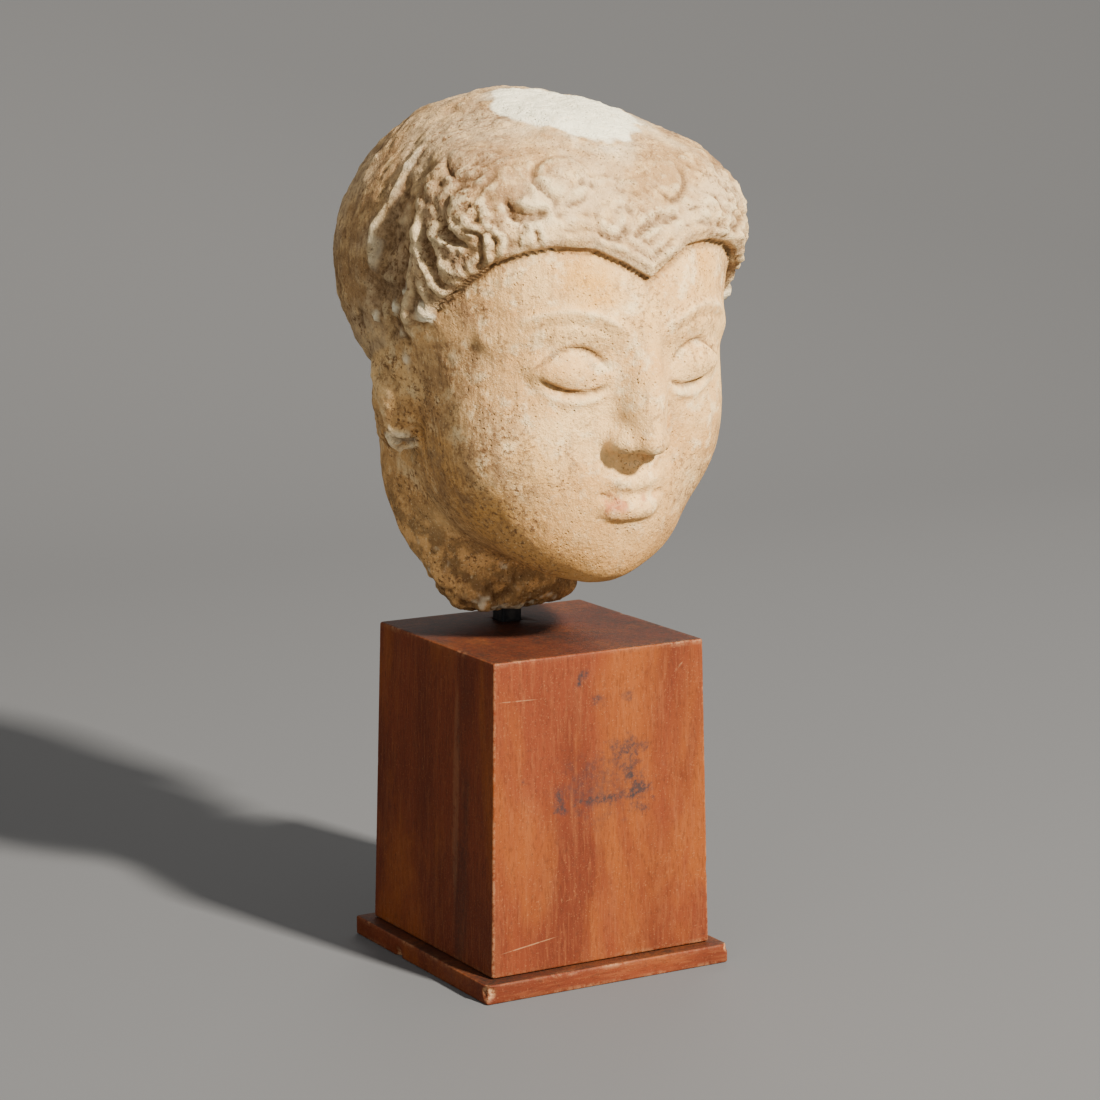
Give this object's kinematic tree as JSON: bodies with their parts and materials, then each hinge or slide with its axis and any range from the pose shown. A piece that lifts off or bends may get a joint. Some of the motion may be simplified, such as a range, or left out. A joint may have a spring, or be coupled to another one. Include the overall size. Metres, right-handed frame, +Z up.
{
  "type": "stucco head on plinth",
  "caption": "Ancient stucco Buddha head with waved hair, broken at the neck and crown, on a square steel bar above a tapered hardwood plinth.",
  "frame": {"origin": "centre of the foot board's underside", "axes": "+Z up; the plinth's front and the face look along -Y; +X is to the figure's left"},
  "size_m": [0.1205, 0.1425, 0.2796],
  "materials": {
    "stucco": "dry, porous lime stucco with worn patina",
    "blackened_steel": "blackened steel bar, satin",
    "plinth_hardwood": "dark stained and waxed hardwood",
    "foot_board_hardwood": "dark stained hardwood"
  },
  "bodies": {
    "root": {"stucco_head": "stucco", "support_bar": "blackened_steel", "plinth_block": "plinth_hardwood", "foot_board": "foot_board_hardwood"}
  },
  "joints": []
}
